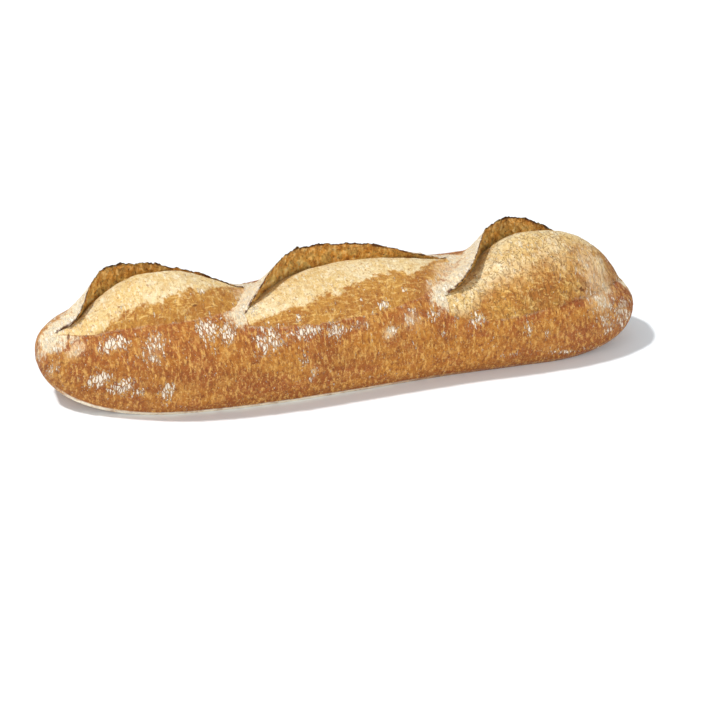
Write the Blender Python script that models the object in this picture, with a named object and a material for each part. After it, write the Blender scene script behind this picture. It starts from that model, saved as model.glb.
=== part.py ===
"""A whole rustic baguette: one hand-shaped loaf on a flat underside, with three slanting scores that
opened in the oven. Each score has a swollen bloom and a raised ear along its rear edge."""

import math

import bpy
import numpy as np

MM = 0.001

# The whole loaf
LENGTH = 378 * MM
WIDTH = 90 * MM
SKIN_HEIGHT = 60 * MM  # the crown of the skin between the scores
WIDEST_LEVEL = 27 * MM  # height above the table at which the loaf is widest
FOOT_ANGLE = math.radians(40)  # where the wall meets the underside, below the widest level
SECTION_FULLNESS = 2.2  # superellipse exponent of the section above the widest level

# The two ends, as (left, right)
TIP_LEVEL = (29 * MM, 23 * MM)
PLAN_END = ((3.3, 2.1), (3.8, 2.2))
CROWN_END = ((6.0, 3.0), (2.7, 2.3))
LIFT_START = 0.66  # share of the half length over which the underside is flat

# The centre line wanders a little to the rear: (position, shift) in mm
WANDER = ((-189, 12), (-150, 8.5), (-110, 3.5), (-50, 2), (0, 3.5), (60, 5.5), (100, 3.5), (140, -1), (189, -7))

# The skin sinks a little where one score hands over to the next
WAISTS = ((-60 * MM, 3.4 * MM, 20 * MM), (72 * MM, 3 * MM, 20 * MM))

UNEVEN = 0.5 * MM  # gentle lumps of the hand-shaped skin

# The ears
EAR_ROOT = 17 * MM  # width of the skin that an ear pulls up behind it
EAR_LEAN = 4.5 * MM  # overhang of the lip towards the bloom
EAR_UNDERCUT = 1.5 * MM
GROOVE_DEPTH = 2.5 * MM

# Each score: the length it opens over, then curves along the loaf as (position in mm, degrees round the
# section) for its ear and its front seam, and (share of the score, mm) for the ear's lift and the bloom's.
# Zero degrees is the front at the widest level, 90 the crown and 180 the rear. Past the score's own
# length the two curves only lead the rows of the surface.
SCORES = (
    {
        "span": (-177, -57),
        "ear": ((-189, 66), (-177, 72), (-170, 77), (-160, 91), (-150, 112), (-130, 128), (-98, 130), (-74, 122),
                (-57, 107), (-44, 127), (-31, 147), (-15, 166), (0, 178), (40, 184), (72, 182), (98, 194),
                (130, 207), (189, 207)),
        "seam": ((-189, 62), (-177, 66), (-168, 59), (-158, 56), (-145, 60), (-120, 64), (-92, 67), (-78, 72),
                 (-68, 80), (-57, 100), (-44, 112), (-31, 126), (-15, 138), (0, 143), (30, 140), (72, 128),
                 (86, 140), (98, 156), (109, 170), (130, 180), (189, 180)),
        "lift": ((0, 0), (0.07, 2.5), (0.14, 7), (0.2, 13), (0.32, 20), (0.5, 19), (0.73, 11), (1, 0.5)),
        "bloom": ((0, 0), (0.12, 0.6), (0.2, 2.6), (0.3, 7.5), (0.38, 12), (0.47, 15), (0.6, 15), (0.77, 10), (1, 0)),
    },
    {
        "span": (-64, 74),
        "ear": ((-189, 53), (-90, 56), (-64, 70), (-60, 77), (-54, 85), (-44, 95), (-32, 107), (-18, 120), (4, 129),
                (30, 120), (52, 111), (74, 106), (86, 122), (98, 140), (109, 155), (130, 168), (189, 168)),
        "seam": ((-189, 22), (-110, 24), (-80, 42), (-64, 55), (-48, 49), (-22, 44), (18, 47), (42, 54), (60, 72),
                 (74, 98), (86, 112), (98, 127), (109, 139), (130, 143), (189, 143)),
        "lift": ((0, 0), (0.035, 2), (0.09, 9), (0.16, 14), (0.28, 16), (0.55, 13), (0.8, 6), (1, 0.5)),
        "bloom": ((0, 0), (0.2, 1.5), (0.5, 3), (0.8, 2.5), (1, 0)),
    },
    {
        "span": (62, 184),
        "ear": ((-189, 10), (-80, 10), (-20, 18), (30, 34), (54, 50), (62, 56), (70, 64), (76, 71), (90, 92),
                (104, 118), (124, 133), (150, 134), (168, 124), (184, 106), (189, 104)),
        "seam": ((-189, -29), (-60, -26), (0, -14), (36, 12), (54, 29), (62, 32), (80, 24), (100, 23), (122, 29),
                 (143, 39), (163, 54), (175, 74), (184, 99), (189, 99)),
        "lift": ((0, 0), (0.06, 5), (0.13, 10), (0.25, 14), (0.4, 19), (0.53, 23), (0.64, 20), (0.77, 10), (1, 0)),
        "bloom": ((0, 0), (0.2, 1.5), (0.25, 4), (0.32, 8), (0.43, 14.5), (0.53, 17.5), (0.66, 19), (0.76, 17.5),
                  (0.85, 14), (0.94, 7), (0.98, 2), (1, 0)),
    },
)

# The mesh
STATIONS = 80  # rings along the loaf
ROWS = (6, 9, 2, 3, 8, 2, 3, 8, 2, 6)  # faces from the front foot to the rear foot, between seams, grooves and lips
BASE_ROWS = 5
KEY_GAP = 2.4 * MM


def curve(points, where):
    """A smooth curve through a few (place, value) points that never overshoots them."""
    px = np.array([p[0] for p in points], float)
    py = np.array([p[1] for p in points], float)
    step = np.diff(px)
    rise = np.diff(py) / step
    slope = np.zeros(len(px))
    for i in range(1, len(px) - 1):
        if rise[i - 1] * rise[i] > 0:
            a = 2 * step[i] + step[i - 1]
            b = step[i] + 2 * step[i - 1]
            slope[i] = (a + b) / (a / rise[i - 1] + b / rise[i])
    slope[0] = rise[0]
    slope[-1] = rise[-1]
    where = min(max(where, px[0]), px[-1])
    i = min(max(int(np.searchsorted(px, where)) - 1, 0), len(step) - 1)
    s = (where - px[i]) / step[i]
    return (
        py[i] * (1 + 2 * s) * (1 - s) ** 2
        + step[i] * slope[i] * s * (1 - s) ** 2
        + py[i + 1] * s * s * (3 - 2 * s)
        + step[i] * slope[i + 1] * s * s * (s - 1)
    )


def smooth(low, high, value):
    t = np.clip((value - low) / (high - low), 0, 1)
    return t * t * (3 - 2 * t)


def end_profile(u, pair):
    power, root = pair[0] if u < 0 else pair[1]
    return (1 - abs(u) ** power) ** (1 / root)


def skin(x, phi):
    """The unscored skin's (y, z) round one section, from the front foot over the crown to the rear foot."""
    u = x / (LENGTH / 2)
    side = 0 if u < 0 else 1
    plan = end_profile(u, PLAN_END)
    crown = end_profile(u, CROWN_END)
    under = math.sqrt(1 - max(0, (abs(u) - LIFT_START) / (1 - LIFT_START)) ** 2.2)
    level = WIDEST_LEVEL + (TIP_LEVEL[side] - WIDEST_LEVEL) * smooth(0.5, 1, abs(u))
    centre = curve(WANDER, x / MM) * MM
    top = SKIN_HEIGHT - sum(depth * math.exp(-(((x - at) / wide) ** 2)) for at, depth, wide in WAISTS)
    c = np.cos(phi)
    s = np.sin(phi)
    y = centre - WIDTH / 2 * plan * np.sign(c) * np.abs(c) ** (2 / SECTION_FULLNESS)
    over = (top - level) * crown * np.abs(s) ** (2 / SECTION_FULLNESS)
    below = -level * under * np.abs(s) / math.sin(FOOT_ANGLE)
    return np.stack([y, level + np.where(s >= 0, over, below)], -1)


def swelling(tau):
    """The bloom's height from the front seam (0) to the groove under the ear (1), as a share of its most."""
    t = np.clip(tau, 0, 1)
    rising = 1 - np.clip(1 - t / 0.6, 0, 1) ** 2.2
    falling = 1 - 0.75 * np.clip((t - 0.6) / 0.4, 0, 1) ** 2
    return rising * falling


def opened(x, score):
    """One score at one section: None where it is closed, else its angles and sizes."""
    x_mm = x / MM
    start, end = score["span"]
    found = {"ear": math.radians(curve(score["ear"], x_mm)), "seam": math.radians(curve(score["seam"], x_mm))}
    found["open"] = start < x_mm < end
    if found["open"]:
        t = (x_mm - start) / (end - start)
        found["bloom"] = curve(score["bloom"], t) * MM
    t = (x_mm - start) / (end - start)
    found["ends"] = float(smooth(0, 0.12, t) * smooth(0, 0.2, 1 - t))
    return found


def ear_lines():
    """Points along each score's ear line: position along the loaf, distance round the skin and lift there."""
    lines = []
    phi = np.linspace(-FOOT_ANGLE, math.pi + FOOT_ANGLE, 401)
    for score in reversed(SCORES):
        start, end = score["span"]
        rows = []
        for t in np.linspace(0, 1, 400):
            x = (start + (end - start) * t) * MM
            plain = skin(x, phi)
            arc = np.concatenate([[0], np.cumsum(np.hypot(*np.diff(plain, axis=0).T))])
            ear = float(np.interp(math.radians(curve(score["ear"], x / MM)), phi, arc))
            rows.append((x, ear - arc[200], curve(score["lift"], t) * MM))
        lines.append(np.array(rows))
    return lines


def pulled_up(x, arc, crown, line):
    """How strongly an ear draws up the skin at these places: 1 at the lip, 0 a root's width away."""
    away = np.hypot(line[:, 0] - x, line[:, 1] - (arc[:, None] - crown))
    near = np.clip(1 - away / EAR_ROOT, 0, 1)
    return (line[:, 2] * near**2).max(axis=1), near.max(axis=1)


def displaced(x, arc, crown, total, marks, below):
    """How far the skin moves along its normal and round the section. The flag for each score says on which
    side of its ear line these points lie."""
    free = smooth(0, 15 * MM, arc) * smooth(0, 15 * MM, total - arc) * smooth(0, 60 * MM, total - 60 * MM)
    out = UNEVEN * free * np.sin(x / (17 * MM) + 1.3) * np.cos(arc / (23 * MM))
    out += UNEVEN * free * np.sin(x / (29 * MM) - arc / (19 * MM))
    along = np.zeros_like(arc)
    for mark, line, under_ear in zip(marks, EAR_LINES, below):
        if mark["open"] and under_ear:
            tau = (arc - mark["arc_seam"]) / max(mark["arc_ear"] - mark["arc_seam"], 1e-6)
            out += np.where(tau > 0, mark["bloom"] * swelling(tau), 0)
            out -= GROOVE_DEPTH * mark["ends"] * smooth(0.8, 1, tau)
            along += EAR_UNDERCUT * mark["ends"] * smooth(0.8, 1, tau)
        else:
            lift, near = pulled_up(x, arc, crown, line)
            if x < line[0, 0]:
                # Ahead of a score its ear only lifts the skin towards the rear
                turn = np.arctan2(arc - crown - line[0, 1], line[0, 0] - x)
                lift = lift * smooth(-math.pi / 2, math.pi / 8, turn)
            out += lift
            along -= EAR_LEAN * mark["ends"] * near**3
    return out, along


EAR_LINES = ear_lines()


def section(x):
    """One section's (y, z) points from the front foot over the crown to the rear foot and back along the
    underside, counted off between the same seams, grooves and lips at every section."""
    phi = np.linspace(-FOOT_ANGLE, math.pi + FOOT_ANGLE, 1201)
    plain = skin(x, phi)
    arc = np.concatenate([[0], np.cumsum(np.hypot(*np.diff(plain, axis=0).T))])
    way = np.gradient(plain, axis=0)
    way /= np.maximum(np.hypot(way[:, 0], way[:, 1]), 1e-12)[:, None]
    marks = [opened(x, score) for score in reversed(SCORES)]
    for mark in marks:
        mark["arc_ear"] = float(np.interp(mark["ear"], phi, arc))
        mark["arc_seam"] = float(np.interp(mark["seam"], phi, arc))
    pieces = []
    sources = []
    ends = [0.0] + [mark["arc_ear"] for mark in marks] + [arc[-1]]
    for index in range(len(marks) + 1):
        a = np.linspace(ends[index], ends[index + 1], 240)
        out, along = displaced(x, a, arc[600], arc[-1], marks, [j >= index for j in range(len(marks))])
        at, w = (np.stack([np.interp(a, arc, grid[:, i]) for i in (0, 1)], -1) for grid in (plain, way))
        n = np.stack([-w[:, 1], w[:, 0]], -1)
        points = at + n * out[:, None] + w * along[:, None]
        if pieces and marks[index - 1]["open"]:
            # The torn inner face of the ear, from the groove up to the lip
            v = np.linspace(0, 1, 40)[1:-1, None]
            reach = points[0] - pieces[-1][-1]
            pieces.append(pieces[-1][-1] + reach * v - w[0] * np.dot(reach, w[0]) * (v - v**2) * 0.8)
            sources.append(np.full(len(v), ends[index]))
        pieces.append(points)
        sources.append(a)
    line = np.concatenate(pieces)
    source = np.concatenate(sources)
    length = np.concatenate([[0], np.cumsum(np.hypot(*np.diff(line, axis=0).T))])
    gap = KEY_GAP * min(1, length[-1] / (120 * MM))
    keys = [0.0]
    for mark in marks:
        seam = float(np.interp(mark["arc_seam"], source, length))
        groove = length[np.searchsorted(source, mark["arc_ear"], "left")]
        lip = length[np.searchsorted(source, mark["arc_ear"], "right") - 1]
        middle = (groove + lip) / 2
        half = max(lip - groove, gap) / 2
        keys += [seam, middle - half, middle + half]
    keys.append(length[-1])
    for index in range(1, len(keys) - 1):
        keys[index] = max(keys[index], keys[index - 1] + gap)
    for index in range(len(keys) - 2, 0, -1):
        keys[index] = min(keys[index], keys[index + 1] - gap)
    rows = [np.linspace(a, b, count, endpoint=False) for a, b, count in zip(keys, keys[1:], ROWS)]
    rows = np.concatenate(rows + [[length[-1]]])
    ring = np.stack([np.interp(rows, length, line[:, i]) for i in (0, 1)], -1)
    under = np.linspace(ring[-1], ring[0], BASE_ROWS + 1)[1:-1]
    return np.concatenate([ring, under])


def stations():
    """Places along the loaf, evenly spaced over its surface so that they crowd towards the blunt ends."""
    u = np.sin(np.linspace(-math.pi / 2, math.pi / 2, 2001))
    across = np.array([end_profile(a, PLAN_END) for a in u]) * WIDTH / 2
    over = np.cumsum(np.hypot(np.diff(u * LENGTH / 2), np.diff(across)))
    over = np.concatenate([[0], over])
    return np.interp(np.linspace(0, over[-1], STATIONS + 2)[1:-1], over, u * LENGTH / 2)


def loaf_mesh():
    rings = [np.insert(section(x), 0, x, axis=1) for x in stations()]
    count = len(rings[0])
    points = list(np.concatenate(rings))
    faces = []
    for i in range(len(rings) - 1):
        for j in range(count):
            k = (j + 1) % count
            faces.append((i * count + j, (i + 1) * count + j, (i + 1) * count + k, i * count + k))
    for side, ring in ((0, 0), (1, len(rings) - 1)):
        tip = len(points)
        x = (side * 2 - 1) * LENGTH / 2
        points.append(np.array([x, curve(WANDER, x / MM) * MM, TIP_LEVEL[side]]))
        for j in range(count):
            a = ring * count + j
            b = ring * count + (j + 1) % count
            faces.append((tip, a, b) if side == 0 else (tip, b, a))
    points = np.array(points)
    middle = (points.min(axis=0) + points.max(axis=0)) / 2
    points -= [middle[0], middle[1], points[:, 2].min()]
    return points, faces


for old in list(bpy.data.objects):
    bpy.data.objects.remove(old)

points, faces = loaf_mesh()
mesh = bpy.data.meshes.new("loaf")
mesh.from_pydata([tuple(map(float, p)) for p in points], [], faces)
mesh.update()
loaf = bpy.data.objects.new("loaf", mesh)
bpy.context.scene.collection.objects.link(loaf)

crust = bpy.data.materials.new("crust")
crust.use_nodes = True
shader = crust.node_tree.nodes["Principled BSDF"]
shader.inputs["Base Color"].default_value = (0.52, 0.28, 0.11, 1)
shader.inputs["Roughness"].default_value = 0.75
mesh.materials.append(crust)
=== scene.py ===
"""The baguette's looks: its crust, blooms, torn ears and flour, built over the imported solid."""
import math

import bpy
import numpy as np
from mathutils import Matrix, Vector


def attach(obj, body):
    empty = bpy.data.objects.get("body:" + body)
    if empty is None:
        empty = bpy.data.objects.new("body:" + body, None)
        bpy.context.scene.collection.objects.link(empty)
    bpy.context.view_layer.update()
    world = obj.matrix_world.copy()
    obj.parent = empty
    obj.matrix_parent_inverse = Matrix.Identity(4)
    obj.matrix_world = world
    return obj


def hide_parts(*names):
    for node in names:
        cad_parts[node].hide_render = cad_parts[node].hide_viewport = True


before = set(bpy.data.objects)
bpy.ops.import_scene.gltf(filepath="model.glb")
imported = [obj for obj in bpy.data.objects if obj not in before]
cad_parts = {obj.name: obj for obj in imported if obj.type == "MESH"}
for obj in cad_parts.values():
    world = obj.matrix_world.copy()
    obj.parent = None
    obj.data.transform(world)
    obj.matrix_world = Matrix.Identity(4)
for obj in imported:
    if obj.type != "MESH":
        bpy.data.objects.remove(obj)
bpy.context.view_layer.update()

MM = 0.001

# ---------------------------------------------------------------- the loaf's form, as in the solid
LENGTH = 378 * MM
WIDTH = 90 * MM
SKIN_HEIGHT = 60 * MM
WIDEST_LEVEL = 27 * MM
FOOT_ANGLE = math.radians(40)
SECTION_FULLNESS = 2.2
TIP_LEVEL = (29 * MM, 23 * MM)
PLAN_END = ((3.3, 2.1), (3.8, 2.2))
CROWN_END = ((6.0, 3.0), (2.7, 2.3))
LIFT_START = 0.66
WANDER = ((-189, 12), (-150, 8.5), (-110, 3.5), (-50, 2), (0, 3.5), (60, 5.5), (100, 3.5), (140, -1),
          (189, -7))
WAISTS = ((-60 * MM, 3.4 * MM, 20 * MM), (72 * MM, 3 * MM, 20 * MM))
UNEVEN = 0.5 * MM
WAVES_ALONG = (17 * MM, 29 * MM)
WAVES_ROUND = (23 * MM, 19 * MM)
WAVE_START = 1.3
CALM_FOOT = 15 * MM
SMALL_SECTION = 60 * MM
EAR_ROOT = 17 * MM
EAR_LEAN = 4.5 * MM
EAR_UNDERCUT = 1.5 * MM
GROOVE_DEPTH = 2.5 * MM
KEY_GAP = 2.4 * MM
KEY_GAP_ROUND = 120 * MM  # sections shorter round than this have narrower gaps
TORN_HOLLOW = 0.8
BLOOM_CREST = 0.6
BLOOM_RISE = 2.2
BLOOM_FALL = 0.75
GROOVE_START = 0.8

# Each score, from left to right: the stretch it opens over, then curves of (position in mm, degrees round
# the section) for its ear and front seam, and of (share of the score, mm) for the ear's lift and the bloom's.
# The border is where a bloom turns from gold to cream, as (share of the score, share of the way from the seam
# to the groove), and fade is how softly it turns.
SCORES = (
    {
        "span": (-177, -57),
        "ear": ((-189, 66), (-177, 72), (-170, 77), (-160, 91), (-150, 112), (-130, 128), (-98, 130),
                (-74, 122), (-57, 107), (-44, 127), (-31, 147), (-15, 166), (0, 178), (40, 184), (72, 182),
                (98, 194), (130, 207), (189, 207)),
        "seam": ((-189, 62), (-177, 66), (-168, 59), (-158, 56), (-145, 60), (-120, 64), (-92, 67),
                 (-78, 72), (-68, 80), (-57, 100), (-44, 112), (-31, 126), (-15, 138), (0, 143), (30, 140),
                 (72, 128), (86, 140), (98, 156), (109, 170), (130, 180), (189, 180)),
        "lift": ((0, 0), (0.07, 2.5), (0.14, 7), (0.2, 13), (0.32, 20), (0.5, 19), (0.73, 11), (1, 0.5)),
        "bloom": ((0, 0), (0.12, 0.6), (0.2, 2.6), (0.3, 7.5), (0.38, 12), (0.47, 15), (0.6, 15),
                  (0.77, 10), (1, 0)),
        "border": ((0, -0.2), (0.15, -0.1), (0.22, 0.04), (0.29, 0.18), (0.5, 0.2), (0.63, 0.26),
                   (0.75, 0.34), (0.84, 0.44), (0.94, 0.62), (1, 0.9)),
        "fade": 0.05,
    },
    {
        "span": (-64, 74),
        "ear": ((-189, 53), (-90, 56), (-64, 70), (-60, 77), (-54, 85), (-44, 95), (-32, 107), (-18, 120),
                (4, 129), (30, 120), (52, 111), (74, 106), (86, 122), (98, 140), (109, 155), (130, 168),
                (189, 168)),
        "seam": ((-189, 22), (-110, 24), (-80, 42), (-64, 55), (-48, 49), (-22, 44), (18, 47), (42, 54),
                 (60, 72), (74, 98), (86, 112), (98, 127), (109, 139), (130, 143), (189, 143)),
        "lift": ((0, 0), (0.035, 2), (0.09, 9), (0.16, 14), (0.28, 16), (0.55, 13), (0.8, 6), (1, 0.5)),
        "bloom": ((0, 0), (0.2, 1.5), (0.5, 3), (0.8, 2.5), (1, 0)),
        "border": ((0, 0.1), (0.04, 0.24), (0.28, 0.26), (0.38, 0.31), (0.52, 0.37), (0.74, 0.41),
                   (0.87, 0.54), (0.95, 0.75), (1, 0.9)),
        "fade": 0.05,
    },
    {
        "span": (62, 184),
        "ear": ((-189, 10), (-80, 10), (-20, 18), (30, 34), (54, 50), (62, 56), (70, 64), (76, 71),
                (90, 92), (104, 118), (124, 133), (150, 134), (168, 124), (184, 106), (189, 104)),
        "seam": ((-189, -29), (-60, -26), (0, -14), (36, 12), (54, 29), (62, 32), (80, 24), (100, 23),
                 (122, 29), (143, 39), (163, 54), (175, 74), (184, 99), (189, 99)),
        "lift": ((0, 0), (0.06, 5), (0.13, 10), (0.25, 14), (0.4, 19), (0.53, 23), (0.64, 20), (0.77, 10),
                 (1, 0)),
        "bloom": ((0, 0), (0.2, 1.5), (0.25, 4), (0.32, 8), (0.43, 14.5), (0.53, 17.5), (0.66, 19),
                  (0.76, 17.5), (0.85, 14), (0.94, 7), (0.98, 2), (1, 0)),
        "border": ((0, 0.05), (0.1, 0.25), (0.2, 0.38), (0.5, 0.34), (0.7, 0.36), (0.85, 0.55), (1, 1.0)),
        "fade": 0.3,
    },
)

# The fine surface
STATIONS = 380
ROWS = (16, 56, 12, 12, 46, 12, 12, 44, 12, 18)
BASE_ROWS = 14
SKIN_SAMPLES = 1200  # round one section before it is opened
STRIP_SAMPLES = 240  # between one ear and the next
FACE_SAMPLES = 40  # up one torn face
LINE_SAMPLES = 400  # along one ear, and round the skin there
PLAN_SAMPLES = 2001
FAR = 0.05  # what counts as far from every lip and groove
LEAST = 1e-6


# ---------------------------------------------------------------- small numeric helpers
def curve(points, where):
    """A smooth curve through a few (place, value) points that never overshoots them."""
    px = np.array([p[0] for p in points], float)
    py = np.array([p[1] for p in points], float)
    step = np.diff(px)
    rise = np.diff(py) / step
    slope = np.zeros(len(px))
    for i in range(1, len(px) - 1):
        if rise[i - 1] * rise[i] > 0:
            a = 2 * step[i] + step[i - 1]
            b = step[i] + 2 * step[i - 1]
            slope[i] = (a + b) / (a / rise[i - 1] + b / rise[i])
    slope[0] = rise[0]
    slope[-1] = rise[-1]
    where = np.clip(np.asarray(where, float), px[0], px[-1])
    i = np.clip(np.searchsorted(px, where) - 1, 0, len(step) - 1)
    s = (where - px[i]) / step[i]
    return (
        py[i] * (1 + 2 * s) * (1 - s) ** 2
        + step[i] * slope[i] * s * (1 - s) ** 2
        + py[i + 1] * s * s * (3 - 2 * s)
        + step[i] * slope[i + 1] * s * s * (s - 1)
    )


def run_along(points):
    """How far each point of a line lies along it from the first."""
    return np.concatenate([[0], np.cumsum(np.hypot(*np.diff(points, axis=0).T))])


def smooth(low, high, value):
    """A smooth step from 0 to 1 as value goes from low to high."""
    t = np.clip((value - low) / (high - low), 0, 1)
    return t * t * (3 - 2 * t)


# Large multipliers and shifts that stir a cell's place into a random number
CELL_FACTORS = (np.uint32(374761393), np.uint32(668265263), np.uint32(2147480090))
SEED_FACTOR = 974711
STIRS = ((np.uint32(13), np.uint32(1274126177)), (np.uint32(15), np.uint32(2246822519)))
LAST_SHIFT = np.uint32(16)
MOST_UINT32 = 4294967295.0


def scattered(cells, seed):
    """One even random number from 0 to 1 for each whole-number cell (x, y, z)."""
    with np.errstate(over="ignore"):
        n = sum(cells[:, axis] * factor for axis, factor in enumerate(CELL_FACTORS))
        n = n + np.uint32(seed * SEED_FACTOR)
        for shift, factor in STIRS:
            n = (n ^ (n >> shift)) * factor
        n = n ^ (n >> LAST_SHIFT)
    return n.astype(np.float64) / MOST_UINT32


def noise(points, size, seed, octaves=1):
    """Smooth noise from -1 to 1 whose lumps are about this size, in metres."""
    total = np.zeros(len(points))
    weight = 0.0
    for octave in range(octaves):
        p = points / (size / 2**octave) + 500.37 * (octave + 1)
        low = np.floor(p).astype(np.int64)
        f = p - low
        f = f * f * (3 - 2 * f)
        value = np.zeros(len(points))
        for corner in range(8):
            bits = np.array([corner & 1, corner >> 1 & 1, corner >> 2 & 1])
            share = np.prod(np.where(bits, f, 1 - f), axis=1)
            value += share * scattered((low + bits).astype(np.uint32), seed + octave)
        total += (value * 2 - 1) * 0.5**octave
        weight += 0.5**octave
    return total / weight


# ---------------------------------------------------------------- sections
def end_profile(u, pair):
    """How full the loaf is at u, from -1 at the left tip to 1 at the right one, as a share of its most."""
    power, root = pair[0] if u < 0 else pair[1]
    return (1 - abs(u) ** power) ** (1 / root)


def skin(x, phi):
    """The unscored skin's (y, z) round one section, from the front foot over the crown to the rear foot."""
    u = x / (LENGTH / 2)
    side = 0 if u < 0 else 1
    plan = end_profile(u, PLAN_END)
    crown = end_profile(u, CROWN_END)
    under = math.sqrt(1 - max(0, (abs(u) - LIFT_START) / (1 - LIFT_START)) ** 2.2)
    level = WIDEST_LEVEL + (TIP_LEVEL[side] - WIDEST_LEVEL) * smooth(0.5, 1, abs(u))
    centre = curve(WANDER, x / MM) * MM
    top = SKIN_HEIGHT - sum(depth * math.exp(-(((x - at) / wide) ** 2)) for at, depth, wide in WAISTS)
    c = np.cos(phi)
    s = np.sin(phi)
    y = centre - WIDTH / 2 * plan * np.sign(c) * np.abs(c) ** (2 / SECTION_FULLNESS)
    over = (top - level) * crown * np.abs(s) ** (2 / SECTION_FULLNESS)
    below = -level * under * np.abs(s) / math.sin(FOOT_ANGLE)
    return np.stack([y, level + np.where(s >= 0, over, below)], -1)


def swelling(tau):
    """The bloom's height from the front seam (0) to the groove under the ear (1), as a share of its most."""
    t = np.clip(tau, 0, 1)
    rising = 1 - np.clip(1 - t / BLOOM_CREST, 0, 1) ** BLOOM_RISE
    falling = 1 - BLOOM_FALL * np.clip((t - BLOOM_CREST) / (1 - BLOOM_CREST), 0, 1) ** 2
    return rising * falling


def opened(x, score):
    """One score at one section: its angles, whether it is open there, and its sizes."""
    x_mm = x / MM
    start, end = score["span"]
    t = (x_mm - start) / (end - start)
    return {
        "ear": math.radians(curve(score["ear"], x_mm)),
        "seam": math.radians(curve(score["seam"], x_mm)),
        "open": start < x_mm < end,
        "border": float(curve(score["border"], t)),
        "fade": score["fade"],
        "bloom": float(curve(score["bloom"], t)) * MM,
        "ends": float(smooth(0, 0.12, t) * smooth(0, 0.2, 1 - t)),
    }


def sampled_skin(x, samples):
    """The unscored skin of one section at even steps: its angles, its points and how far round each lies."""
    phi = np.linspace(-FOOT_ANGLE, math.pi + FOOT_ANGLE, samples + 1)
    plain = skin(x, phi)
    return phi, plain, run_along(plain)


def score_lines():
    """Points along each score's ear and seam, as position along the loaf and distance round the skin from
    the crown. An ear's also hold its lift and how far along the ear they are."""
    ears = []
    seams = []
    for score in reversed(SCORES):
        start, end = score["span"]
        rows = []
        for t in np.linspace(0, 1, LINE_SAMPLES):
            x = (start + (end - start) * t) * MM
            phi, _, arc = sampled_skin(x, LINE_SAMPLES)
            crown = arc[LINE_SAMPLES // 2]
            ear = np.interp(math.radians(curve(score["ear"], x / MM)), phi, arc)
            seam = np.interp(math.radians(curve(score["seam"], x / MM)), phi, arc)
            rows.append((x, ear - crown, curve(score["lift"], t) * MM, seam - crown))
        rows = np.array(rows)
        ears.append(np.column_stack([rows[:, :3], run_along(rows[:, :2])]))
        seams.append(rows[:, [0, 3]])
    return ears, seams


EAR_LINES, SEAM_LINES = score_lines()


def displaced(x, arc, crown, total, marks, below):
    """How far the skin moves along its normal and round the section. The flag for each score says on which
    side of its ear line these points lie."""
    calm = smooth(0, CALM_FOOT, arc) * smooth(0, CALM_FOOT, total - arc)
    free = calm * smooth(0, SMALL_SECTION, total - SMALL_SECTION)
    out = UNEVEN * free * np.sin(x / WAVES_ALONG[0] + WAVE_START) * np.cos(arc / WAVES_ROUND[0])
    out += UNEVEN * free * np.sin(x / WAVES_ALONG[1] - arc / WAVES_ROUND[1])
    along = np.zeros_like(arc)
    for mark, line, under_ear in zip(marks, EAR_LINES, below):
        if mark["open"] and under_ear:
            tau = (arc - mark["arc_seam"]) / max(mark["arc_ear"] - mark["arc_seam"], LEAST)
            out += np.where(tau > 0, mark["bloom"] * swelling(tau), 0)
            out -= GROOVE_DEPTH * mark["ends"] * smooth(GROOVE_START, 1, tau)
            along += EAR_UNDERCUT * mark["ends"] * smooth(GROOVE_START, 1, tau)
        elif line[0, 0] - EAR_ROOT < x < line[-1, 0] + EAR_ROOT:
            away = np.hypot(line[:, 0] - x, line[:, 1] - (arc[:, None] - crown))
            near = np.clip(1 - away / EAR_ROOT, 0, 1)
            lift = (line[:, 2] * near**2).max(axis=1)
            if x < line[0, 0]:
                # Ahead of a score its ear only lifts the skin towards the rear
                turn = np.arctan2(arc - crown - line[0, 1], line[0, 0] - x)
                lift = lift * smooth(-math.pi / 2, math.pi / 8, turn)
            out += lift
            along -= EAR_LEAN * mark["ends"] * near.max(axis=1) ** 3
    return out, along


def opened_line(x, marks, plain, arc):
    """The outline of one section with its scores opened: its points, how far round the plain skin each one
    comes from, and how far up a torn face it lies."""
    way = np.gradient(plain, axis=0)
    way /= np.maximum(np.hypot(way[:, 0], way[:, 1]), 1e-12)[:, None]
    pieces = []
    sources = []
    faces = []
    ends = [0.0] + [mark["arc_ear"] for mark in marks] + [arc[-1]]
    for index in range(len(marks) + 1):
        a = np.linspace(ends[index], ends[index + 1], STRIP_SAMPLES)
        below = [j >= index for j in range(len(marks))]
        out, along = displaced(x, a, arc[SKIN_SAMPLES // 2], arc[-1], marks, below)
        at, w = (np.stack([np.interp(a, arc, grid[:, i]) for i in (0, 1)], -1) for grid in (plain, way))
        n = np.stack([-w[:, 1], w[:, 0]], -1)
        points = at + n * out[:, None] + w * along[:, None]
        if pieces and marks[index - 1]["open"]:
            # The torn inner face of the ear, from the groove up to the lip
            v = np.linspace(0, 1, FACE_SAMPLES)[1:-1, None]
            groove = pieces[-1][-1]
            reach = points[0] - groove
            pieces.append(groove + reach * v - w[0] * np.dot(reach, w[0]) * (v - v**2) * TORN_HOLLOW)
            sources.append(np.full(len(v), ends[index]))
            faces.append(v[:, 0])
        pieces.append(points)
        sources.append(a)
        faces.append(np.zeros(len(a)))
    return np.concatenate(pieces), np.concatenate(sources), np.concatenate(faces)


def ear_ends(mark, source):
    """The first and the last point of an outline on this score's ear line: its groove and its lip."""
    low = np.searchsorted(source, mark["arc_ear"], "left")
    return low, np.searchsorted(source, mark["arc_ear"], "right") - 1


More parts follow.
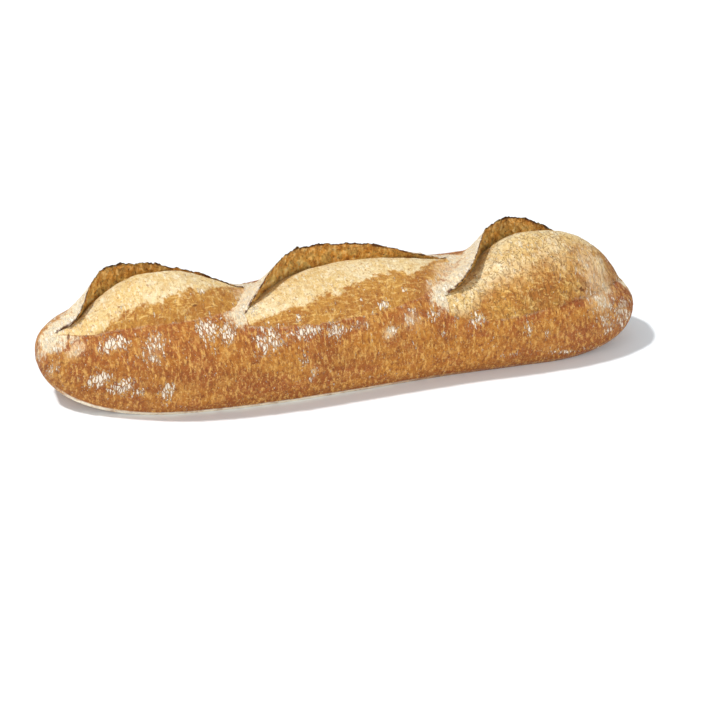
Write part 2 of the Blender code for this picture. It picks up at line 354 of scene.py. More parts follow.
def row_places(marks, source, length):
    """Where a section's points go along its outline, counted off between its seams, grooves and lips."""
    gap = KEY_GAP * min(1, length[-1] / KEY_GAP_ROUND)
    keys = [0.0]
    for mark in marks:
        low, high = ear_ends(mark, source)
        middle = (length[low] + length[high]) / 2
        half = max(length[high] - length[low], gap) / 2
        keys += [float(np.interp(mark["arc_seam"], source, length)), middle - half, middle + half]
    keys.append(length[-1])
    for index in range(1, len(keys) - 1):
        keys[index] = max(keys[index], keys[index - 1] + gap)
    for index in range(len(keys) - 2, 0, -1):
        keys[index] = min(keys[index], keys[index + 1] - gap)
    rows = [np.linspace(a, b, count, endpoint=False) for a, b, count in zip(keys, keys[1:], ROWS)]
    return np.concatenate(rows + [[length[-1]]])


def score_facts(marks, source, length):
    """For each point of an outline: how far it is from a lip and from a groove, whether it lies on a bloom,
    how far past the bloom's cream border, and how soft that border is."""
    facts = {
        "lip": np.full(len(length), FAR),
        "groove": np.full(len(length), FAR),
        "inside": np.zeros(len(length)),
        "over": np.full(len(length), -1.0),
        "fade": np.full(len(length), 0.05),
    }
    tau = np.zeros(len(length))
    for mark in marks:
        if not mark["open"]:
            continue
        low, high = ear_ends(mark, source)
        facts["lip"] = np.minimum(facts["lip"], abs(length - length[high]))
        facts["groove"] = np.minimum(facts["groove"], abs(length - length[low]))
        held = (source > mark["arc_seam"]) & (np.arange(len(length)) < high)
        facts["inside"] = np.maximum(facts["inside"], held)
        share = (source - mark["arc_seam"]) / max(mark["arc_ear"] - mark["arc_seam"], LEAST)
        tau = np.where(held, np.clip(share, 0, 1), tau)
        facts["over"] = np.where(held, tau - mark["border"], facts["over"])
        facts["fade"] = np.where(held, mark["fade"], facts["fade"])
    return facts


def section(x):
    """One section from the front foot over the crown to the rear foot: its (y, z) points, counted off between
    the same seams, grooves and lips everywhere, and what lies at each."""
    phi, plain, arc = sampled_skin(x, SKIN_SAMPLES)
    marks = [opened(x, score) for score in reversed(SCORES)]
    for mark in marks:
        mark["arc_ear"] = float(np.interp(mark["ear"], phi, arc))
        mark["arc_seam"] = float(np.interp(mark["seam"], phi, arc))
    line, source, face = opened_line(x, marks, plain, arc)
    length = run_along(line)
    rows = row_places(marks, source, length)

    def at_rows(values):
        return np.interp(rows, length, values)

    found = {key: at_rows(values) for key, values in score_facts(marks, source, length).items()}
    spot = at_rows(source) - arc[SKIN_SAMPLES // 2]
    seam_gap = np.full(len(rows), 1.0)
    near = np.zeros(len(rows))
    run = np.zeros(len(rows))
    for ear_line, seam_line in zip(EAR_LINES, SEAM_LINES):
        away = np.hypot(seam_line[:, 0] - x, seam_line[:, 1] - spot[:, None]).min(axis=1)
        seam_gap = np.minimum(seam_gap, away)
        away = np.hypot(ear_line[:, 0] - x, ear_line[:, 1] - spot[:, None])
        closer = np.clip(1 - away.min(axis=1) / EAR_ROOT, 0, 1)
        run = np.where(closer > near, ear_line[away.argmin(axis=1), 3], run)
        near = np.maximum(near, closer)
    return found | {
        "ring": np.stack([at_rows(line[:, 0]), at_rows(line[:, 1])], -1),
        "spot": spot,
        "face": at_rows(face),
        "seam": seam_gap * np.where(found["inside"] > 0.5, 1, -1),
        "near": near * (found["inside"] < 0.5),
        "run": run,
        "foot": np.minimum(rows, length[-1] - rows),
    }


def stations():
    """Places along the loaf, evenly spaced over its surface so that they crowd towards the blunt ends."""
    u = np.sin(np.linspace(-math.pi / 2, math.pi / 2, PLAN_SAMPLES))
    across = np.array([end_profile(a, PLAN_END) for a in u]) * WIDTH / 2
    over = np.cumsum(np.hypot(np.diff(u * LENGTH / 2), np.diff(across)))
    over = np.concatenate([[0], over])
    places = np.linspace(0, over[-1], STATIONS + 2)[1:-1]
    return np.interp(places, over, u * LENGTH / 2), places / over[-1]


def closed_grid(rings, tips):
    """Corner lists for a stack of closed rings with a tip at each end, facing out."""
    count = rings[1]
    faces = []
    for i in range(rings[0] - 1):
        for j in range(count):
            k = (j + 1) % count
            faces.append((i * count + j, (i + 1) * count + j, (i + 1) * count + k, i * count + k))
    for side, ring in ((0, 0), (1, rings[0] - 1)):
        for j in range(count):
            a = ring * count + j
            b = ring * count + (j + 1) % count
            faces.append((tips[side], a, b) if side == 0 else (tips[side], b, a))
    return faces


# ---------------------------------------------------------------- the loaf's surface
def normals_of(points, faces):
    """Each point's normal, from the faces round it."""
    quads = np.array([f if len(f) == 4 else (*f, f[2]) for f in faces])
    p = points[quads]
    flat = np.cross(p[:, 2] - p[:, 0], p[:, 3] - p[:, 1])
    total = np.zeros_like(points)
    for corner in range(4):
        np.add.at(total, quads[:, corner], flat)
    return total / np.maximum(np.linalg.norm(total, axis=1), 1e-20)[:, None]


def bake_loaf():
    """The loaf's points, faces and what lies at each point."""
    places, share = stations()
    found = [section(x) for x in places]
    rows = len(found[0]["ring"])
    ring_points = []
    facts = {key: [] for key in found[0] if key != "ring"}
    facts["under"] = []
    facts["x"] = []
    back = np.linspace(0, 1, BASE_ROWS + 1)[1:-1]
    for x, one in zip(places, found):
        ring = one["ring"]
        under = ring[-1] + (ring[0] - ring[-1]) * back[:, None]
        whole = np.concatenate([ring, under])
        ring_points.append(np.insert(whole, 0, x, axis=1))
        for key in one:
            if key == "ring":
                continue
            last = one[key][-1]
            first = one[key][0]
            extra = last + (first - last) * back
            if key in ("lip", "groove"):
                extra = np.full(len(back), FAR)
            if key == "foot":
                extra = np.zeros(len(back))
            facts[key].append(np.concatenate([one[key], extra]))
        facts["under"].append(np.concatenate([np.zeros(rows - 1), np.ones(len(back) + 1)]))
        facts["x"].append(np.full(len(whole), x))
    count = len(ring_points[0])
    points = np.concatenate(ring_points)
    facts = {key: np.concatenate(value) for key, value in facts.items()}
    tips = []
    for side, ring in ((0, 0), (1, len(places) - 1)):
        x = (side * 2 - 1) * LENGTH / 2
        tips.append(len(points))
        points = np.concatenate([points, [[x, curve(WANDER, x / MM) * MM, TIP_LEVEL[side]]]])
        for key in facts:
            facts[key] = np.append(facts[key], facts[key][ring * count : (ring + 1) * count].mean())
    middle = (points.min(axis=0) + points.max(axis=0)) / 2
    points -= [middle[0], middle[1], points[:, 2].min()]
    faces = closed_grid((len(places), count), tips)
    return points, faces, facts, count, share


POINTS, FACES, FACTS, ROUND, SHARE = bake_loaf()

# Where flour stayed on the skin: its place along the loaf and round from the crown, its half length and half
# height, all in mm, then how much of it is a thin film and how much is flakes
FLOUR = (
    # the left end
    (-177, -5, 13, 13, 0.95, 0.1), (-172, 0, 17, 20, 0.7, 0.4), (-178, -16, 4.5, 3.5, 1, 1),
    (-168, -24, 7, 6, 0.9, 0.2), (-182, -28, 5, 6, 0.5, 0.6),
    # under the first score
    (-146, -28, 10, 5.5, 0.5, 1), (-123, -34, 8, 11, 0.6, 0.75), (-90, -27, 7, 9, 0.4, 1),
    (-78, -30, 6, 9, 0.35, 1),
    (-157, -48, 8, 6, 0.3, 0.95), (-144, -56, 8, 6, 0.3, 0.95), (-118, -64, 5, 8, 0.4, 0.85),
    (-134, -62, 5, 4, 0.2, 0.7),
    # under the second
    (-54, -39, 10, 10, 0.45, 0.95), (-32, -39, 12, 5, 0.4, 0.9), (-12, -41, 8, 6, 0.4, 0.9),
    (4, -40, 9, 4, 0.45, 0.5),
    (21, -30, 4, 3.5, 0.3, 1), (21, -48, 5, 5, 0.85, 0.6), (-28, -66, 2.5, 7, 0.6, 0.6),
    (36, -42, 7, 8, 0.7, 0.5),
    (-34, -55, 3, 7, 0.35, 0.5),
    # round the third
    (50, -40, 4, 6, 0.3, 0.85), (65, -43, 2.4, 2.2, 0.4, 1), (77, -45, 6, 3.5, 0.5, 0.85),
    (56, -53, 2, 2.5, 0.3, 0.95),
    (110, -54, 3.5, 4, 0.4, 0.9), (122, -56, 3, 3, 0.3, 0.8), (167, -26, 7, 8, 0.6, 0.75),
    (165, -42, 6, 10, 0.5, 0.75),
    (132, -70, 14, 3, 0.3, 0.65), (158, -66, 12, 3, 0.35, 0.65), (100, -72, 10, 3, 0.2, 0.55),
    # the saddles between the scores
    (-59, 2, 8, 14, 0.9, 0.35), (-60, -16, 7, 6, 0.6, 0.6), (57, -22, 9, 12, 0.85, 0.4),
    (70, -5, 12, 16, 1, 0.35),
    (160, -16, 16, 16, 0.86, 0.25), (160, -28, 13, 12, 0.8, 0.6), (176, -30, 8, 14, 0.5, 0.7),
    # single flakes on the blooms
    (-34, -30, 1.6, 3, 0.2, 1), (-88, -4, 2, 2, 0.2, 0.95), (36, -21, 3, 2, 0.3, 1),
    (8, -24, 1.5, 1.5, 0.1, 0.9),
    # the back
    (-130, 50, 14, 12, 0.6, 0.8), (-62, 62, 12, 12, 0.6, 0.75), (22, 50, 16, 10, 0.6, 0.8),
    (92, 58, 14, 10, 0.6, 0.8),
    (150, 46, 12, 12, 0.6, 0.75), (-20, 66, 14, 6, 0.5, 0.7), (60, 72, 12, 6, 0.5, 0.6),
)
# Small cracks: place along and round, half length, half height in mm
CRACKS = ((148, -26, 2.4, 0.8), (-171, -14, 0.8, 2.2), (-94, -12, 1.5, 0.6))


def spread(rows, column, power):
    """The most that any of these soft patches gives at each point."""
    x = FACTS["x"] / MM
    round_mm = FACTS["spot"] / MM
    total = np.zeros(len(x))
    for row in rows:
        lean = 0.18 * (round_mm - row[1])
        away = ((x - row[0] - lean) / row[2]) ** 2 + ((round_mm - row[1]) / row[3]) ** 2
        total = np.maximum(total, row[column] * np.exp(-(away**power)))
    return total


def relieve(points, faces, facts):
    """The surface's fine form: lumps, blisters, torn crumb and chipped lips. It also fills in the facts that
    depend on the same noise."""
    normal = normals_of(points, faces)
    zero = np.zeros(len(points))
    skin_place = np.stack([facts["x"], facts["spot"], zero], -1)
    torn_place = np.stack([facts["run"] + 7.3, facts["groove"], zero], -1)
    run = np.stack([facts["run"], zero, zero], -1)
    facts["film"] = np.maximum(spread(FLOUR, 4, 1.0), 0.9 * facts["near"])
    facts["film"] = np.maximum(facts["film"], smooth(16 * MM, 34 * MM, facts["spot"]) * 0.3)
    facts["flakes"] = np.maximum(spread(FLOUR, 5, 1.3), 0.8 * facts["near"])
    facts["flakes"] = np.maximum(facts["flakes"], smooth(20 * MM, 40 * MM, facts["spot"]) * 0.3)
    facts["crack"] = spread([row + (1,) for row in CRACKS], 4, 1.5)
    facts["over"] = facts["over"] + 0.10 * noise(points, 13 * MM, 83) + 0.075 * noise(points, 4.5 * MM, 89, 2)

    face = smooth(0.0, 0.12, facts["face"])
    bloom = np.clip(facts["inside"], 0, 1) * (1 - face)
    crust = (1 - np.clip(facts["inside"], 0, 1)) * (1 - face)
    free = smooth(0, 6 * MM, facts["foot"]) * (1 - facts["under"])
    ends = smooth(1.0, 0.93, abs(facts["x"]) / (LENGTH / 2))
    out = crust * (0.30 * noise(points, 9 * MM, 3, 2) + 0.22 * noise(points, 3 * MM, 11, 2))
    blister = noise(points, 5.5 * MM, 17, 2)
    out += crust * 0.55 * smooth(0.42, 0.75, blister)
    ridged = 1 - abs(noise(skin_place * [0.7, 1.0, 1.0], 4.5 * MM, 23, 2))
    lumps = 0.22 * noise(points, 2.6 * MM, 31, 2) + 0.35 * noise(points, 11 * MM, 37)
    out += bloom * (0.30 * ridged - 0.2 + lumps)
    # The cream skin of a bloom is a little thicker than the golden one and ends in a torn edge
    out += bloom * 0.34 * smooth(-0.02, 0.025, facts["over"]) * (facts["fade"] < 0.2)
    pits = noise(torn_place * [1.0, 0.5, 1.0], 3.0 * MM, 43, 2)
    crumb = noise(points, 2.0 * MM, 47, 2)
    out += face * (1.1 * pits + 0.8 * crumb)
    wobble = noise(points, 5 * MM, 53, 2)
    edge = facts["seam"] + 1.3 * MM * wobble
    rim = np.exp(-((edge + 0.9 * MM) ** 2) / (1.1 * MM) ** 2)
    crease = np.exp(-((edge - 0.4 * MM) ** 2) / (0.7 * MM) ** 2)
    here = 0.5 + 0.5 * noise(points, 14 * MM, 59)
    out += ends * here * (0.34 * rim - 0.42 * crease)
    out -= 1.0 * facts["crack"]
    points = points + normal * (out * free)[:, None] * MM
    # The lip is chipped and burnt unevenly along its length
    lip = np.exp(-facts["lip"] / (1.3 * MM))
    chips = 1.5 * abs(noise(run, 2.6 * MM, 61, 2)) + 0.9 * noise(run, 7 * MM, 67)
    chips += 0.5 * noise(points, 1.6 * MM, 71) - 0.4
    points[:, 2] += lip * chips * 1.25 * MM
    points[:, 1] += lip * noise(run, 3.2 * MM, 73, 2) * 1.1 * MM
    points[:, 2] = np.maximum(points[:, 2], 0)
    return points


POINTS = relieve(POINTS, FACES, FACTS)


def made_mesh(name, points, faces):
    mesh = bpy.data.meshes.new(name)
    quads = np.array([f for f in faces if len(f) == 4])
    tris = np.array([f for f in faces if len(f) == 3])
    loops = np.concatenate([quads.ravel(), tris.ravel()])
    mesh.vertices.add(len(points))
    mesh.vertices.foreach_set("co", points.astype(np.float32).ravel())
    mesh.loops.add(len(loops))
    mesh.loops.foreach_set("vertex_index", loops.astype(np.int32))
    mesh.polygons.add(len(faces))
    starts = np.concatenate([np.arange(len(quads)) * 4, len(quads) * 4 + np.arange(len(tris)) * 3])
    mesh.polygons.foreach_set("loop_start", starts.astype(np.int32))
    mesh.update(calc_edges=True)
    mesh.validate()
    mesh.polygons.foreach_set("use_smooth", np.ones(len(faces), bool))
    piece = bpy.data.objects.new(name, mesh)
    bpy.context.scene.collection.objects.link(piece)
    return piece


def keep_facts(mesh):
    """Writes what lies at each point as attributes that the crust's material reads."""
    written = {
        "seam_mm": np.clip(FACTS["seam"] / MM, -40, 40),
        "over": np.clip(FACTS["over"], -1.5, 1.5),
        "fade": FACTS["fade"],
        "face": FACTS["face"],
        "lip_mm": np.clip(FACTS["lip"] / MM, 0, 30),
        "near": FACTS["near"],
        "under": FACTS["under"],
        "foot_mm": np.clip(FACTS["foot"] / MM, 0, 60),
        "film": FACTS["film"],
        "flakes": FACTS["flakes"],
        "crack": FACTS["crack"],
    }
    for key, values in written.items():
        mesh.attributes.new(key, "FLOAT", "POINT").data.foreach_set("value", values.astype(np.float32))
    places = {
        "place": (FACTS["x"], FACTS["spot"], FACTS["face"] * 14 * MM),
        "torn": (FACTS["run"], FACTS["groove"], FACTS["x"]),
    }
    for key, columns in places.items():
        values = np.stack(columns, -1).astype(np.float32).ravel()
        mesh.attributes.new(key, "FLOAT_VECTOR", "POINT").data.foreach_set("vector", values)


def unwrap(mesh):
    """The loaf's skin laid flat: along it from tip to tip, and round it from the middle of the sole."""
    rings = POINTS[: len(SHARE) * ROUND].reshape(len(SHARE), ROUND, 3)
    sides = np.linalg.norm(np.roll(rings, -1, axis=1) - rings, axis=2).mean(axis=0)
    up = np.concatenate([[0], np.cumsum(sides)]) / sides.sum()
    uv = []
    for corners in FACES:
        if len(corners) == 4:
            i, j = divmod(corners[0], ROUND)
            a, b = SHARE[i], SHARE[i + 1]
            uv += [a, up[j], b, up[j], b, up[j + 1], a, up[j + 1]]
        else:
            left = corners[1] < ROUND and corners[2] < ROUND
            j = min(corners[1:]) % ROUND
            if {corners[1] % ROUND, corners[2] % ROUND} == {0, ROUND - 1}:
                j = ROUND - 1
            low, high = up[j], up[j + 1]
            edge = SHARE[0] if left else SHARE[-1]
            first, second = (low, high) if left else (high, low)
            uv += [0.0 if left else 1.0, (low + high) / 2, edge, first, edge, second]
    layer = mesh.uv_layers.new(name="OFBake")
    layer.data.foreach_set("uv", np.array(uv, np.float32))


loaf = made_mesh("baked_loaf", POINTS, FACES)
keep_facts(loaf.data)
unwrap(loaf.data)


# ---------------------------------------------------------------- materials
def tone(red, green, blue):
    """A colour as a screen shows it, 0 to 255, turned into the linear one that shaders take."""
    part = [v / 255 for v in (red, green, blue)]
    return tuple(v / 12.92 if v <= 0.04045 else ((v + 0.055) / 1.055) ** 2.4 for v in part) + (1.0,)


class Shade:
    """A material's nodes, with short names for the few kinds used here."""

    def __init__(self, name):
        self.material = bpy.data.materials.new(name)
        self.material.use_nodes = True
        self.nodes = self.material.node_tree.nodes
        self.links = self.material.node_tree.links
        self.shader = self.nodes["Principled BSDF"]

    def give(self, socket, value):
        if isinstance(value, bpy.types.NodeSocket):
            self.links.new(value, socket)
        else:
            socket.default_value = value

    def fact(self, name, vector=False):
        node = self.nodes.new("ShaderNodeAttribute")
        node.attribute_name = name
        return node.outputs["Vector" if vector else "Fac"]

    def place(self):
        return self.nodes.new("ShaderNodeTexCoord").outputs["Object"]

    def part(self, vector, axis):
        node = self.nodes.new("ShaderNodeSeparateXYZ")
        self.give(node.inputs["Vector"], vector)
        return node.outputs[axis]

    def stretched(self, vector, scale, turn=0.0):
        node = self.nodes.new("ShaderNodeMapping")
        self.give(node.inputs["Vector"], vector)
        node.inputs["Rotation"].default_value = (0, 0, turn)
        node.inputs["Scale"].default_value = scale
        return node.outputs["Vector"]

    def noise(self, vector, lump, detail=2.0, rough=0.5, twist=0.0):
        """Noise from 0 to 1 with lumps of about this many metres."""
        node = self.nodes.new("ShaderNodeTexNoise")
        self.give(node.inputs["Vector"], vector)
        node.inputs["Scale"].default_value = 0.6 / lump
        node.inputs["Detail"].default_value = detail
        node.inputs["Roughness"].default_value = rough
        node.inputs["Distortion"].default_value = twist
        return node.outputs["Fac"]

    def cell_edges(self, vector, size):
        """How far each place is from the edge of its cell, in cells of about this many metres."""
        node = self.nodes.new("ShaderNodeTexVoronoi")
        node.feature = "DISTANCE_TO_EDGE"
        self.give(node.inputs["Vector"], vector)
        node.inputs["Scale"].default_value = 1 / size
        return node.outputs["Distance"]

    def math(self, kind, first, second=0.0, third=None):
        node = self.nodes.new("ShaderNodeMath")
        node.operation = kind
        self.give(node.inputs[0], first)
        self.give(node.inputs[1], second)
        if third is not None:
            self.give(node.inputs[2], third)
        return node.outputs[0]

    def step(self, value, low, high, start=0.0, end=1.0):
        """A smooth step from start to end as value goes from low to high."""
        node = self.nodes.new("ShaderNodeMapRange")
        node.interpolation_type = "SMOOTHSTEP"
        self.give(node.inputs["Value"], value)
        self.give(node.inputs["From Min"], low)
        self.give(node.inputs["From Max"], high)
        node.inputs["To Min"].default_value = start
        node.inputs["To Max"].default_value = end
        return node.outputs["Result"]

    def mixed(self, share, first, second):
        node = self.nodes.new("ShaderNodeMix")
        node.data_type = "RGBA"
        self.give(node.inputs["Factor"], share)
        self.give(node.inputs[6], first)
        self.give(node.inputs[7], second)
        return node.outputs[2]

    def product(self, first, second):
        return self.math("MULTIPLY", first, second)

    def total(self, first, second):
        return self.math("ADD", first, second)

    def centred(self, pattern, swing):
        """A pattern from 0 to 1 turned into one from minus half the swing to plus half."""
        return self.math("MULTIPLY_ADD", pattern, swing, -swing / 2)


def crust_material():
    m = Shade("baked_crust")
    spot = m.place()
    skin_place = m.fact("place", vector=True)
    torn_place = m.fact("torn", vector=True)
    seam = m.fact("seam_mm")
    face = m.fact("face")
    lip = m.fact("lip_mm")
    film = m.fact("film")
    flakes = m.fact("flakes")
    under = m.fact("under")
    foot = m.fact("foot_mm")
    fade = m.fact("fade")
    crack = m.fact("crack")
    near = m.fact("near")

    wide = m.noise(spot, 0.030, 3, 0.55)
    patch = m.noise(m.stretched(spot, (1, 1, 1.6)), 0.013, 4, 0.6, 0.4)
    middle = m.noise(spot, 0.0045, 4, 0.65)
    fine = m.noise(spot, 0.0016, 3, 0.6)
    grain = m.noise(spot, 0.0009, 2, 0.7)
    leaning = m.stretched(skin_place, (1.0, 0.34, 1.0), 0.3)
    pale_streak = m.noise(leaning, 0.0013, 4, 0.78)
    dark_streak = m.noise(m.stretched(skin_place, (1.0, 0.5, 1.0), 0.1), 0.0014, 4, 0.78)

    # The crust round the sides: ochre and red-brown mottling under fine leaning specks
    wall = m.mixed(m.step(wide, 0.38, 0.62), tone(152, 82, 28), tone(184, 118, 40))
    wall = m.mixed(m.step(patch, 0.50, 0.66, 0, 0.75), wall, tone(160, 86, 38))
    wall = m.mixed(m.step(patch, 0.46, 0.32, 0, 0.55), wall, tone(204, 144, 60))
    wall = m.mixed(m.step(middle, 0.50, 0.66, 0, 0.65), wall, tone(146, 80, 32))
    wall = m.mixed(m.step(middle, 0.48, 0.34, 0, 0.5), wall, tone(206, 148, 70))
    toasted = m.step(m.noise(spot, 0.009, 3), 0.38, 0.6, 0.0, 0.7)
    toasted = m.product(m.step(seam, -15.0, -1.0), toasted)
    wall = m.mixed(toasted, wall, tone(156, 80, 38))
    # Darker towards the right end, on the wall away from the seam
    darker_right = m.step(m.part(spot, "X"), 0.07, 0.16, 0, 0.55)
    wall = m.mixed(m.product(darker_right, m.step(seam, -8.0, -22.0)), wall, tone(146, 74, 34))
    # Painted shade: the wall darkens within 16 mm of the foot, where the loaf's lower side is shaded
    wall = m.mixed(m.step(foot, 16.0, 5.0, 0, 0.45), wall, tone(146, 78, 30))
    wall = m.mixed(m.step(dark_streak, 0.50, 0.63, 0, 0.85), wall, tone(128, 68, 26))
    wall = m.mixed(m.step(pale_streak, 0.50, 0.63, 0, 0.8), wall, tone(226, 172, 92))
    wall = m.mixed(m.step(grain, 0.58, 0.70, 0, 0.4), wall, tone(242, 200, 128))
    wall = m.mixed(m.step(grain, 0.42, 0.30, 0, 0.4), wall, tone(110, 58, 22))

    # Flour: a thin rosy film and, where it lies thicker, broken white flakes
    clump = m.noise(spot, 0.0034, 4, 0.65)
    bits = m.noise(leaning, 0.0011, 4, 0.8)
    uneven = m.total(m.centred(clump, 1.4), m.centred(bits, 1.8))
    gaps = m.step(m.cell_edges(leaning, 0.0017), 0.02, 0.14)
    haze = m.product(m.math("POWER", film, 2.2), m.step(fine, 0.3, 0.6, 0.15, 0.6))
    caked = m.step(m.total(film, uneven), 0.42, 0.66)
    caked = m.product(caked, m.step(film, 0.1, 0.6, 0.0, 0.75))
    thick = m.math("MAXIMUM", haze, m.product(caked, m.math("MULTIPLY_ADD", gaps, 0.5, 0.5)))
    saddle = m.total(m.centred(clump, 0.9), m.centred(bits, 1.0))
    saddle = m.product(m.step(m.total(near, saddle), 0.2, 0.55), m.step(near, 0.0, 0.3))
    thick = m.math("MAXIMUM", thick, m.product(saddle, m.step(bits, 0.36, 0.54, 0.45, 0.92)))
    flake = m.math("MULTIPLY_ADD", clump, 1.0, m.math("MULTIPLY_ADD", flakes, 0.66, -0.5))
    flake = m.total(flake, m.centred(bits, 2.6))
    flake = m.product(m.step(flake, 0.34, 0.48), gaps)
    dust = m.step(m.noise(spot, 0.0013, 2, 0.7), 0.69, 0.75, 0.0, 0.6)
    flake = m.math("MAXIMUM", flake, dust)

    # The blooms: cream near the groove and golden towards the front seam, with a ragged border
    over = m.total(m.fact("over"), m.centred(fine, 0.22))
    over = m.math("DIVIDE", m.total(over, 0.02), fade)
    creamy = m.step(over, -0.5, 0.9)
    along = m.stretched(skin_place, (0.38, 1.0, 1.0), -0.22)
    hair = m.noise(along, 0.0014, 4, 0.75, 0.6)
    cream = m.mixed(m.step(patch, 0.36, 0.62), tone(240, 218, 170), tone(230, 196, 130))
    cream = m.mixed(m.step(clump, 0.50, 0.64, 0, 0.5), cream, tone(216, 170, 98))
    cream = m.mixed(m.step(middle, 0.46, 0.32, 0, 0.6), cream, tone(250, 234, 198))
    cream = m.mixed(m.step(dark_streak, 0.52, 0.64, 0, 0.5), cream, tone(196, 144, 76))
    cream = m.mixed(m.step(hair, 0.54, 0.66, 0, 0.45), cream, tone(208, 160, 92))
    cream = m.mixed(m.step(pale_streak, 0.53, 0.64, 0, 0.65), cream, tone(255, 246, 218))
    cream = m.mixed(m.step(m.noise(spot, 0.0014, 2, 0.7), 0.62, 0.69, 0, 0.75), cream, tone(160, 104, 48))
    gold = m.mixed(m.step(patch, 0.4, 0.62), tone(192, 136, 58), tone(168, 106, 40))
    gold = m.mixed(m.step(middle, 0.5, 0.66, 0, 0.5), gold, tone(160, 98, 40))
    gold = m.mixed(m.step(hair, 0.52, 0.63, 0, 0.8), gold, tone(236, 194, 116))
    gold = m.mixed(m.step(dark_streak, 0.52, 0.64, 0, 0.7), gold, tone(142, 82, 32))
    gold = m.mixed(m.step(pale_streak, 0.54, 0.66, 0, 0.5), gold, tone(240, 206, 138))
    bloom = m.mixed(creamy, gold, cream)
    wrinkle = m.noise(m.stretched(skin_place, (1, 0.6, 1), 0.5), 0.0024, 3, 0.6, 0.8)
    wrinkle = m.math("ABSOLUTE", m.math("SUBTRACT", wrinkle, 0.5))
    wrinkle = m.product(m.step(wrinkle, 0.022, 0.004), m.step(fade, 0.1, 0.3, 0.25, 1.0))
    bloom = m.mixed(m.product(wrinkle, 0.55), bloom, tone(156, 100, 46))
    bloom = m.mixed(m.step(grain, 0.58, 0.70, 0, 0.5), bloom, tone(168, 108, 48))
    light_grain = m.mixed(creamy, tone(240, 194, 100), tone(255, 238, 190))
    bloom = m.mixed(m.step(grain, 0.42, 0.30, 0, 0.5), bloom, light_grain)

    # The torn inner faces of the ears
    # The crumb's own orange, set brighter than it is: partly painted light, making up for the little light
    # the ear faces get
    crumb = m.mixed(m.step(clump, 0.40, 0.60), tone(255, 186, 84), tone(255, 212, 118))
    tear = m.noise(m.stretched(torn_place, (1.0, 0.5, 0.0), 0.15), 0.0017, 4, 0.8)
    pit = m.noise(spot, 0.0014, 4, 0.75)
    top = m.product(m.step(m.total(face, m.centred(clump, 1.2)), 0.45, 0.95), 0.35)
    crumb = m.mixed(top, crumb, tone(206, 106, 38))
    crumb = m.mixed(m.step(tear, 0.53, 0.64, 0, 0.65), crumb, tone(172, 78, 26))
    crumb = m.mixed(m.step(tear, 0.48, 0.38, 0, 0.6), crumb, tone(255, 228, 160))
    crumb = m.mixed(m.step(pit, 0.60, 0.68, 0, 0.8), crumb, tone(118, 50, 16))
    # Painted shade: the torn face darkens down towards the groove, which the ear above shades
    crumb = m.mixed(m.step(face, 0.26, 0.0, 0, 0.45), crumb, tone(124, 66, 24))
    burnt = m.step(m.noise(torn_place, 0.003, 3, 0.6), 0.40, 0.54, 0.12, 1.0)
    burnt = m.product(m.step(lip, 2.3, 0.9), burnt)

    edge = m.total(seam, m.centred(m.noise(spot, 0.0035, 4, 0.7), 4.0))
    # Wall and bloom meet at a ragged seam; flour, cracks, torn faces and burnt lips lie over them
    colour = m.mixed(m.step(edge, -0.6, 0.5), wall, bloom)
    rim = m.step(m.math("ABSOLUTE", m.total(edge, 0.5)), 1.0, 0.2)
    rim = m.product(rim, m.step(clump, 0.42, 0.6))
    colour = m.mixed(m.product(rim, 0.22), colour, tone(238, 212, 172))
    film_tone = m.mixed(m.step(patch, 0.4, 0.6), tone(250, 226, 182), tone(240, 200, 152))
    colour = m.mixed(thick, colour, m.mixed(saddle, film_tone, tone(255, 238, 200)))
    colour = m.mixed(m.product(flake, 0.9), colour, tone(253, 238, 216))
    colour = m.mixed(m.step(crack, 0.25, 0.6, 0, 0.85), colour, tone(116, 64, 28))
    colour = m.mixed(m.step(face, 0.0, 0.08), colour, crumb)
    colour = m.mixed(m.product(burnt, 0.92), colour, tone(96, 46, 20))
    # Flour gathered along the foot, and the browned and floury sole
    floured = m.step(m.part(spot, "X"), -0.02, 0.08, 1.0, 0.12)
    foot_line = m.product(m.step(foot, 4.2, 2.2), m.step(clump, 0.3, 0.55, 0.35, 0.95))
    foot_line = m.product(foot_line, floured)
    foot_line = m.product(foot_line, m.step(m.part(spot, "X"), -0.184, -0.168))
    colour = m.mixed(foot_line, colour, tone(255, 244, 220))
    sole = m.mixed(m.step(wide, 0.35, 0.65), tone(196, 140, 78), tone(170, 108, 52))
    sole = m.mixed(m.step(clump, 0.5, 0.62, 0, 0.7), sole, tone(232, 210, 180))
    sole = m.mixed(m.step(pit, 0.6, 0.7, 0, 0.7), sole, tone(120, 70, 34))
    colour = m.mixed(under, colour, sole)
    m.give(m.shader.inputs["Base Color"], colour)

    # Flour and torn crumb are duller than the crust
    rough = m.step(middle, 0.3, 0.7, 0.58, 0.74)
    rough = m.math("MAXIMUM", rough, m.product(m.math("MAXIMUM", flake, thick), 0.95))
    m.give(m.shader.inputs["Roughness"], m.math("MAXIMUM", rough, m.step(face, 0.0, 0.1, 0, 0.9)))
    m.shader.inputs["Specular IOR Level"].default_value = 0.28

    # Fine relief
    height = m.product(fine, 0.8)
    height = m.total(height, m.product(grain, 0.35))
    height = m.total(height, m.product(pale_streak, 0.6))
    height = m.total(height, m.product(hair, 0.4))
    height = m.total(height, m.product(flake, 0.4))
    height = m.math("SUBTRACT", height, m.product(wrinkle, 0.35))
    torn_depth = m.total(m.step(tear, 0.45, 0.65, 0, 0.7), m.step(pit, 0.52, 0.68, 0, 0.8))
    height = m.math("SUBTRACT", height, m.product(torn_depth, m.step(face, 0.0, 0.1)))
    bump = m.nodes.new("ShaderNodeBump")
    bump.inputs["Strength"].default_value = 1.0
    bump.inputs["Distance"].default_value = 0.0013
    m.give(bump.inputs["Height"], height)
    m.give(m.shader.inputs["Normal"], bump.outputs["Normal"])
    return m.material


loaf.data.materials.append(crust_material())
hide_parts("loaf")
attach(loaf, "root")


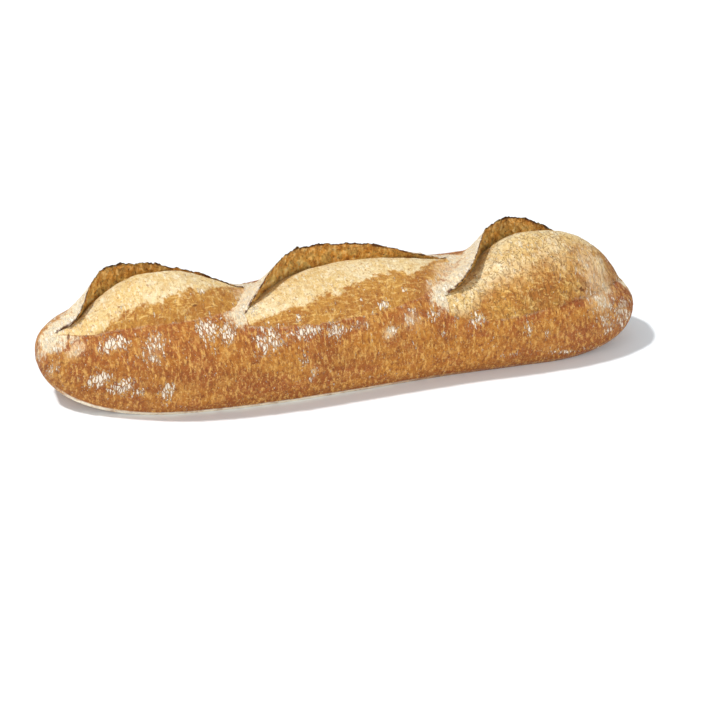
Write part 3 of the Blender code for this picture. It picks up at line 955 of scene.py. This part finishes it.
# ---------------------------------------------------------------- floor, light and camera
FLOOR_TINT = (0.92, 0.95, 0.975, 1)
SKY_TINT = (0.96, 0.98, 1, 1)
SKY_STRENGTH = 0.55
LAMP_TARGET = (0, 0, 0.03)


def floor():
    mesh = bpy.data.meshes.new("floor")
    mesh.from_pydata([(-3, -3, 0), (3, -3, 0), (3, 3, 0), (-3, 3, 0)], [], [(0, 1, 2, 3)])
    piece = bpy.data.objects.new("floor", mesh)
    bpy.context.scene.collection.objects.link(piece)
    white = bpy.data.materials.new("white_floor")
    white.use_nodes = True
    shader = white.node_tree.nodes["Principled BSDF"]
    shader.inputs["Base Color"].default_value = FLOOR_TINT
    shader.inputs["Roughness"].default_value = 0.9
    mesh.materials.append(white)


def lamp(name, place, size, watts):
    light = bpy.data.lights.new(name, "AREA")
    light.shape = "DISK"
    light.size = size
    light.energy = watts
    piece = bpy.data.objects.new(name, light)
    piece.location = place
    piece.rotation_euler = (Vector(LAMP_TARGET) - Vector(place)).to_track_quat("-Z", "Y").to_euler()
    bpy.context.scene.collection.objects.link(piece)


floor()
lamp("key", (-1.6, 0.3, 3.3), 0.3, 96)
lamp("front", (0.1, -2.1, 0.8), 1.0, 17.5)
world = bpy.data.worlds.new("studio")
world.use_nodes = True
sky = world.node_tree.nodes["Background"]
sky.inputs["Color"].default_value = SKY_TINT
sky.inputs["Strength"].default_value = SKY_STRENGTH
scene = bpy.context.scene
scene.world = world
scene.view_settings.view_transform = "Standard"

ELEVATION = math.radians(30)
TURN = math.radians(-15.6)
DISTANCE = 1.9
FRAME_WIDTH = 0.4464  # what the picture spans at the loaf
LOOK_AT = Vector((0, 0, 0.034))
SHIFT = (0.02986, -0.06181)  # of the frame's width
SENSOR = 36
back = Vector((
    math.sin(TURN) * math.cos(ELEVATION),
    -math.cos(TURN) * math.cos(ELEVATION),
    math.sin(ELEVATION),
))
camera_data = bpy.data.cameras.new("camera")
camera_data.sensor_width = SENSOR
camera_data.lens = SENSOR * DISTANCE / FRAME_WIDTH
camera_data.shift_x, camera_data.shift_y = SHIFT
camera = bpy.data.objects.new("camera", camera_data)
camera.location = LOOK_AT + back * DISTANCE
camera.rotation_euler = (-back).to_track_quat("-Z", "Y").to_euler()
scene.collection.objects.link(camera)
scene.camera = camera
